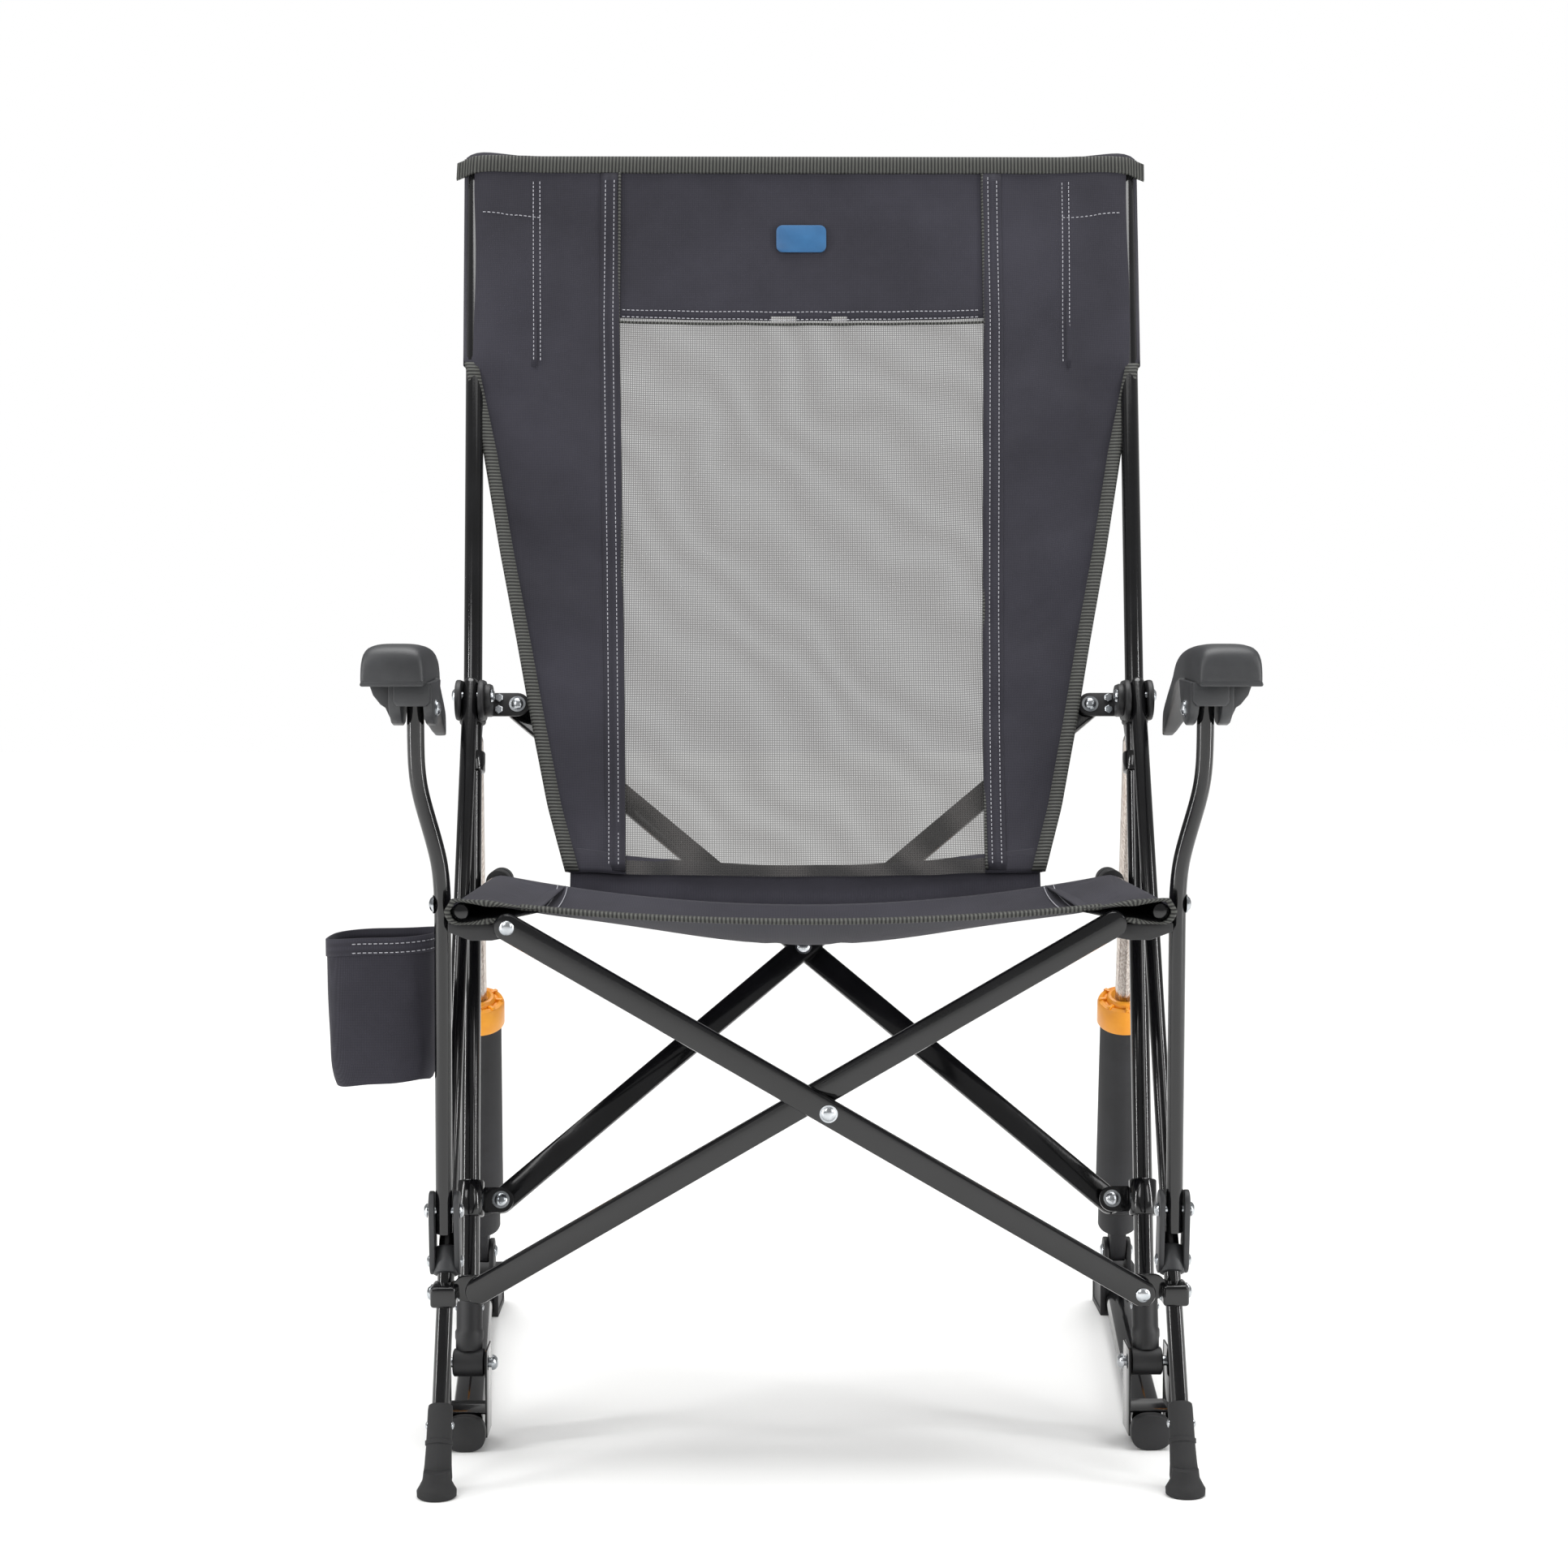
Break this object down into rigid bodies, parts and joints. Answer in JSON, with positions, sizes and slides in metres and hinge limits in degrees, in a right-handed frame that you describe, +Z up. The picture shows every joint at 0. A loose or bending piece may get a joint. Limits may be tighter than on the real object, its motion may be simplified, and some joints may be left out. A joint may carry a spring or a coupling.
{
  "type": "folding camp rocking chair",
  "caption": "Folding high-back camp rocker: tube frame on floor runners, sprung rear struts, crossed bars, sling seat, moulded arms and a cup pocket.",
  "frame": {"origin": "middle of the floor area that the whole chair covers, on the floor", "axes": "+Z up, the chair faces -Y, +X to the right as seen from the front"},
  "size_m": [0.7174, 0.6492, 1.0947],
  "materials": {
    "black_enamel": "gloss black powder coat on steel tube",
    "black_plastic": "matte moulded black plastic",
    "grey_plastic": "fine-grained dark grey moulded plastic",
    "amber_plastic": "amber moulded plastic",
    "rubber": "matte black rubber",
    "zinc": "bright zinc plate",
    "chrome": "chrome plate",
    "spring_steel": "plain spring wire",
    "slate_fabric": "dark slate coated polyester weave"
  },
  "bodies": {
    "base_l": {"base_runner_l": "black_enamel", "runner_cap_l": "black_plastic", "runner_bracket_l": "black_enamel", "rock_pin_l": "zinc", "rear_foot_l": "black_plastic", "strut_bolt_l": "zinc"},
    "back_l": {"back_pole_l": "black_enamel", "pole_socket_l": "black_plastic", "rear_bar_bracket_l": "black_enamel", "strut_lug_l": "black_enamel", "back_sling": "slate_fabric"},
    "cylinder_l": {"strut_sleeve_l": "black_plastic", "strut_collar_l": "amber_plastic", "strut_spring_l": "spring_steel"},
    "rod_l": {"strut_rod_l": "chrome"},
    "bracket_l": {"pole_bracket_l": "black_plastic"},
    "leg_l": {"front_leg_l": "black_enamel", "leg_foot_l": "rubber", "leg_bolt_l": "zinc"},
    "knuckle_l": {"leg_knuckle_l": "black_enamel"},
    "slider_l": {"leg_slider_l": "grey_plastic", "slider_bolt_l": "zinc"},
    "post_l": {"arm_post_l": "black_enamel", "front_clip_l": "black_plastic", "cup_pocket": "slate_fabric"},
    "arm_l": {"armrest_l": "grey_plastic"},
    "rail_l": {"seat_rail_l": "black_enamel", "rear_clip_l": "black_plastic", "seat_sling": "slate_fabric"},
    "base_r": {"base_runner_r": "black_enamel", "runner_cap_r": "black_plastic", "runner_bracket_r": "black_enamel", "rock_pin_r": "zinc", "rear_foot_r": "black_plastic", "strut_bolt_r": "zinc"},
    "back_r": {"back_pole_r": "black_enamel", "pole_socket_r": "black_plastic", "rear_bar_bracket_r": "black_enamel", "strut_lug_r": "black_enamel"},
    "cylinder_r": {"strut_sleeve_r": "black_plastic", "strut_collar_r": "amber_plastic", "strut_spring_r": "spring_steel"},
    "rod_r": {"strut_rod_r": "chrome"},
    "bracket_r": {"pole_bracket_r": "black_plastic"},
    "leg_r": {"front_leg_r": "black_enamel", "leg_foot_r": "rubber", "leg_bolt_r": "zinc"},
    "knuckle_r": {"leg_knuckle_r": "black_enamel"},
    "slider_r": {"leg_slider_r": "grey_plastic", "slider_bolt_r": "zinc"},
    "post_r": {"arm_post_r": "black_enamel", "front_clip_r": "black_plastic"},
    "arm_r": {"armrest_r": "grey_plastic"},
    "rail_r": {"seat_rail_r": "black_enamel", "rear_clip_r": "black_plastic"},
    "front_bar_a": {"front_cross_bar_a": "black_enamel"},
    "rear_bar_a": {"rear_cross_bar_a": "black_enamel"},
    "front_bar_b": {"front_cross_bar_b": "black_enamel"},
    "rear_bar_b": {"rear_cross_bar_b": "black_enamel"}
  },
  "joints": [
    {"name": "fold", "type": "slide", "parent": "base_l", "child": "base_r", "axis": [-1, 0, 0], "range_m": [0, 0.4], "deforming": ["seat_sling", "back_sling", "cup_pocket"]},
    {"name": "rock_l", "type": "hinge", "parent": "base_l", "child": "back_l", "pos_m": [-0.25455, -0.1614, 0.065], "axis": [-1, 0, 0], "range_deg": [0, 14], "stiffness_Nm_per_rad": 150, "springref_deg": -20.05},
    {"name": "rock_r", "type": "hinge", "parent": "base_r", "child": "back_r", "pos_m": [0.29505, -0.1614, 0.065], "axis": [-1, 0, 0], "range_deg": [0, 14.01]},
    {"name": "strut_swing_l", "type": "hinge", "parent": "base_l", "child": "cylinder_l", "pos_m": [-0.28925, 0.2906, 0.058], "axis": [1, 0, 0], "range_deg": [-9.73, 0]},
    {"name": "strut_stroke_l", "type": "slide", "parent": "cylinder_l", "child": "rod_l", "axis": [-0.0331, 0.4175, -0.9081], "range_m": [0, 0.10318], "deforming": ["strut_spring_l"]},
    {"name": "bracket_rise_l", "type": "slide", "parent": "back_l", "child": "bracket_l", "axis": [-0.0236, 0.3348, 0.942], "range_m": [0, 0.22313]},
    {"name": "leg_swing_l", "type": "hinge", "parent": "bracket_l", "child": "leg_l", "pos_m": [-0.26809, 0.0067, 0.603], "axis": [1, 0, 0], "range_deg": [0, 5.5]},
    {"name": "slider_rise_l", "type": "slide", "parent": "leg_l", "child": "slider_l", "axis": [-0.0055, 0.4643, 0.8857], "range_m": [0, 0.28304]},
    {"name": "post_swing_l", "type": "hinge", "parent": "slider_l", "child": "post_l", "pos_m": [-0.26635, -0.2313, 0.2035], "axis": [1, 0, 0], "range_deg": [-14.92, 0]},
    {"name": "arm_swing_l", "type": "hinge", "parent": "post_l", "child": "arm_l", "pos_m": [-0.28025, -0.2794, 0.598], "axis": [1, 0, 0], "range_deg": [-62.72, 0]},
    {"name": "rail_swing_l", "type": "hinge", "parent": "post_l", "child": "rail_l", "pos_m": [-0.24775, -0.26, 0.4445], "axis": [1, 0, 0], "range_deg": [-66.16, 0]},
    {"name": "knuckle_swing_l", "type": "hinge", "parent": "leg_l", "child": "knuckle_l", "pos_m": [-0.26521, -0.23627, 0.1395], "axis": [1, 0, 0], "range_deg": [-22.57, 0]},
    {"name": "strut_swing_r", "type": "hinge", "parent": "base_r", "child": "cylinder_r", "pos_m": [0.32975, 0.2906, 0.058], "axis": [1, 0, 0], "range_deg": [-9.73, 0]},
    {"name": "strut_stroke_r", "type": "slide", "parent": "cylinder_r", "child": "rod_r", "axis": [0.0331, 0.4175, -0.9081], "range_m": [0, 0.10318], "deforming": ["strut_spring_r"]},
    {"name": "bracket_rise_r", "type": "slide", "parent": "back_r", "child": "bracket_r", "axis": [0.0236, 0.3348, 0.942], "range_m": [0, 0.22313]},
    {"name": "leg_swing_r", "type": "hinge", "parent": "bracket_r", "child": "leg_r", "pos_m": [0.30859, 0.0067, 0.603], "axis": [1, 0, 0], "range_deg": [0, 5.5]},
    {"name": "slider_rise_r", "type": "slide", "parent": "leg_r", "child": "slider_r", "axis": [0.0055, 0.4643, 0.8857], "range_m": [0, 0.28304]},
    {"name": "post_swing_r", "type": "hinge", "parent": "slider_r", "child": "post_r", "pos_m": [0.30685, -0.2313, 0.2035], "axis": [1, 0, 0], "range_deg": [-14.92, 0]},
    {"name": "arm_swing_r", "type": "hinge", "parent": "post_r", "child": "arm_r", "pos_m": [0.32075, -0.2794, 0.598], "axis": [1, 0, 0], "range_deg": [-62.72, 0]},
    {"name": "rail_swing_r", "type": "hinge", "parent": "post_r", "child": "rail_r", "pos_m": [0.28825, -0.26, 0.4445], "axis": [1, 0, 0], "range_deg": [-66.16, 0]},
    {"name": "knuckle_swing_r", "type": "hinge", "parent": "leg_r", "child": "knuckle_r", "pos_m": [0.30572, -0.23627, 0.1395], "axis": [1, 0, 0], "range_deg": [-22.57, 0]},
    {"name": "rear_bar_swing_a", "type": "hinge", "parent": "back_l", "child": "rear_bar_a", "pos_m": [-0.23275, -0.10449, 0.18556], "axis": [0, -0.9423, 0.3349], "range_deg": [0, 40.43]},
    {"name": "front_bar_swing_a", "type": "hinge", "parent": "knuckle_r", "child": "front_bar_a", "pos_m": [0.27805, -0.26064, 0.14348], "axis": [0, 0.9939, 0.11], "range_deg": [0, 50.3]},
    {"name": "rear_bar_swing_b", "type": "hinge", "parent": "back_r", "child": "rear_bar_b", "pos_m": [0.27325, -0.09554, 0.18238], "axis": [0, 0.9423, -0.3349], "range_deg": [0, 40.43]},
    {"name": "front_bar_swing_b", "type": "hinge", "parent": "knuckle_l", "child": "front_bar_b", "pos_m": [-0.23755, -0.25119, 0.14452], "axis": [0, -0.9939, -0.11], "range_deg": [0, 50.3]}
  ],
  "couplings": [
    {"joint": "rock_r", "follows": "rock_l", "ratio": 1},
    {"joint": "strut_swing_l", "follows": "rock_l", "ratio": -0.69494},
    {"joint": "strut_stroke_l", "follows": "rock_l", "m_per_rad": 0.42207},
    {"joint": "bracket_rise_l", "follows": "fold", "ratio": 0.55755},
    {"joint": "leg_swing_l", "follows": "fold", "rad_per_m": 0.23998},
    {"joint": "slider_rise_l", "follows": "fold", "ratio": 0.70725},
    {"joint": "post_swing_l", "follows": "fold", "rad_per_m": -0.6507},
    {"joint": "arm_swing_l", "follows": "fold", "rad_per_m": -2.7352},
    {"joint": "rail_swing_l", "follows": "fold", "rad_per_m": -2.8854},
    {"joint": "knuckle_swing_l", "follows": "fold", "rad_per_m": -0.98434},
    {"joint": "strut_swing_r", "follows": "rock_l", "ratio": -0.69494},
    {"joint": "strut_stroke_r", "follows": "rock_l", "m_per_rad": 0.42207},
    {"joint": "bracket_rise_r", "follows": "fold", "ratio": 0.55755},
    {"joint": "leg_swing_r", "follows": "fold", "rad_per_m": 0.23998},
    {"joint": "slider_rise_r", "follows": "fold", "ratio": 0.70725},
    {"joint": "post_swing_r", "follows": "fold", "rad_per_m": -0.6507},
    {"joint": "arm_swing_r", "follows": "fold", "rad_per_m": -2.7352},
    {"joint": "rail_swing_r", "follows": "fold", "rad_per_m": -2.8854},
    {"joint": "knuckle_swing_r", "follows": "fold", "rad_per_m": -0.98434},
    {"joint": "rear_bar_swing_a", "follows": "fold", "rad_per_m": 1.7632},
    {"joint": "front_bar_swing_a", "follows": "fold", "rad_per_m": 2.1938},
    {"joint": "rear_bar_swing_b", "follows": "fold", "rad_per_m": 1.7632},
    {"joint": "front_bar_swing_b", "follows": "fold", "rad_per_m": 2.1938}
  ]
}
